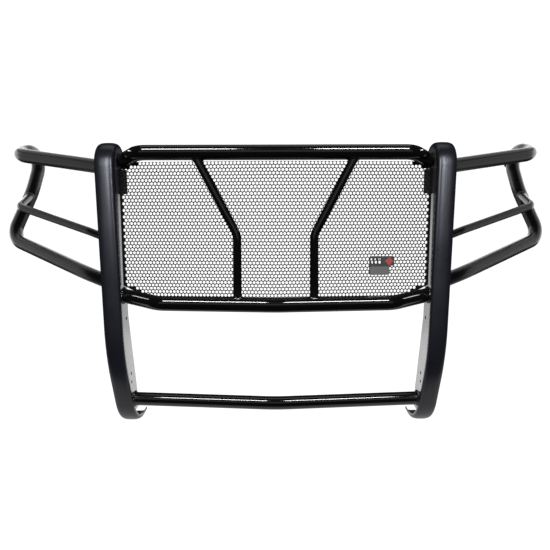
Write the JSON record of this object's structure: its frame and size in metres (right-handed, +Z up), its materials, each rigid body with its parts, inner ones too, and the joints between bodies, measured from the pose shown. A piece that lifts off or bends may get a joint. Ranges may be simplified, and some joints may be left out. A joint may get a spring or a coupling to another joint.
{
  "type": "front grille guard",
  "caption": "Truck front grille guard: curved channel uprights, tube crossbars and struts, a bent punched grille plate, and wrap-round headlamp wings.",
  "frame": {"origin": "on the ground line under the middle of the guard's outline: centred across and front to back, level with the lowest point of the uprights", "axes": "+X to the guard's right-hand side as seen from the front, +Y rearward towards the truck, +Z up"},
  "size_m": [2.0948, 0.4583, 1.1052],
  "materials": {
    "channel_coat": "satin black powder coat",
    "plate_coat": "satin black powder coat",
    "bar_coat": "gloss black powder coat",
    "wing_coat": "satin black powder coat",
    "sheet_coat": "satin black powder coat",
    "bracket_coat": "satin black powder coat",
    "emblem_black": "gloss moulded black",
    "emblem_metal": "brushed",
    "emblem_red": "gloss enamel red",
    "stud_zinc": "zinc plated"
  },
  "bodies": {
    "root": {"upright_channel_left": "channel_coat", "upright_channel_right": "channel_coat", "side_plate_left": "plate_coat", "side_plate_right": "plate_coat", "top_crossbar": "bar_coat", "middle_crossbar": "bar_coat", "lower_crossbar": "bar_coat", "strut_left": "bar_coat", "strut_right": "bar_coat", "punched_plate_left": "sheet_coat", "punched_plate_right": "sheet_coat", "upper_bracket_left": "bracket_coat", "upper_bracket_right": "bracket_coat", "lower_tab_left": "bracket_coat", "lower_tab_right": "bracket_coat", "wing_loop_left": "wing_coat", "wing_loop_right": "wing_coat", "wing_rail_left": "wing_coat", "wing_rail_right": "wing_coat", "wing_tab": "wing_coat", "emblem_base": "emblem_black", "emblem_bar": "emblem_metal", "emblem_inlay": "emblem_red", "emblem_studs": "stud_zinc", "emblem_clips": "stud_zinc"}
  },
  "joints": []
}
